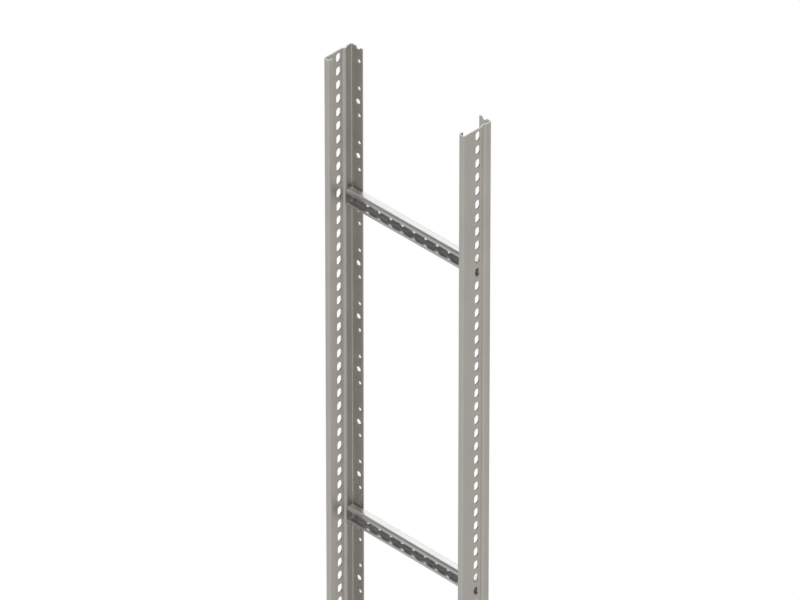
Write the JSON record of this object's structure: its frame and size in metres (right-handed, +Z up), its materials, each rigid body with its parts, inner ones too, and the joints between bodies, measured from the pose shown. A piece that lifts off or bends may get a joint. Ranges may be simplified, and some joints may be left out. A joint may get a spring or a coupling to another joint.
{
  "type": "cable ladder section",
  "caption": "Steel cable ladder section: two perforated side rails with turned-in lips, joined by C-shaped rungs that take cable clamps.",
  "frame": {"origin": "middle of the ladder's underside, on the plane of the back flanges", "axes": "+X along the rails towards the head end, +Y across the ladder towards the left rail, +Z up out of the ladder's open side"},
  "size_m": [3, 0.3, 0.06],
  "materials": {
    "rail_steel": "satin zinc-coated sheet steel, warm grey",
    "rung_steel": "satin zinc-coated sheet steel, warm grey"
  },
  "bodies": {
    "root": {"rail_left": "rail_steel", "rail_right": "rail_steel", "rung_1": "rung_steel", "rung_2": "rung_steel", "rung_3": "rung_steel", "rung_4": "rung_steel", "rung_5": "rung_steel"}
  },
  "joints": []
}
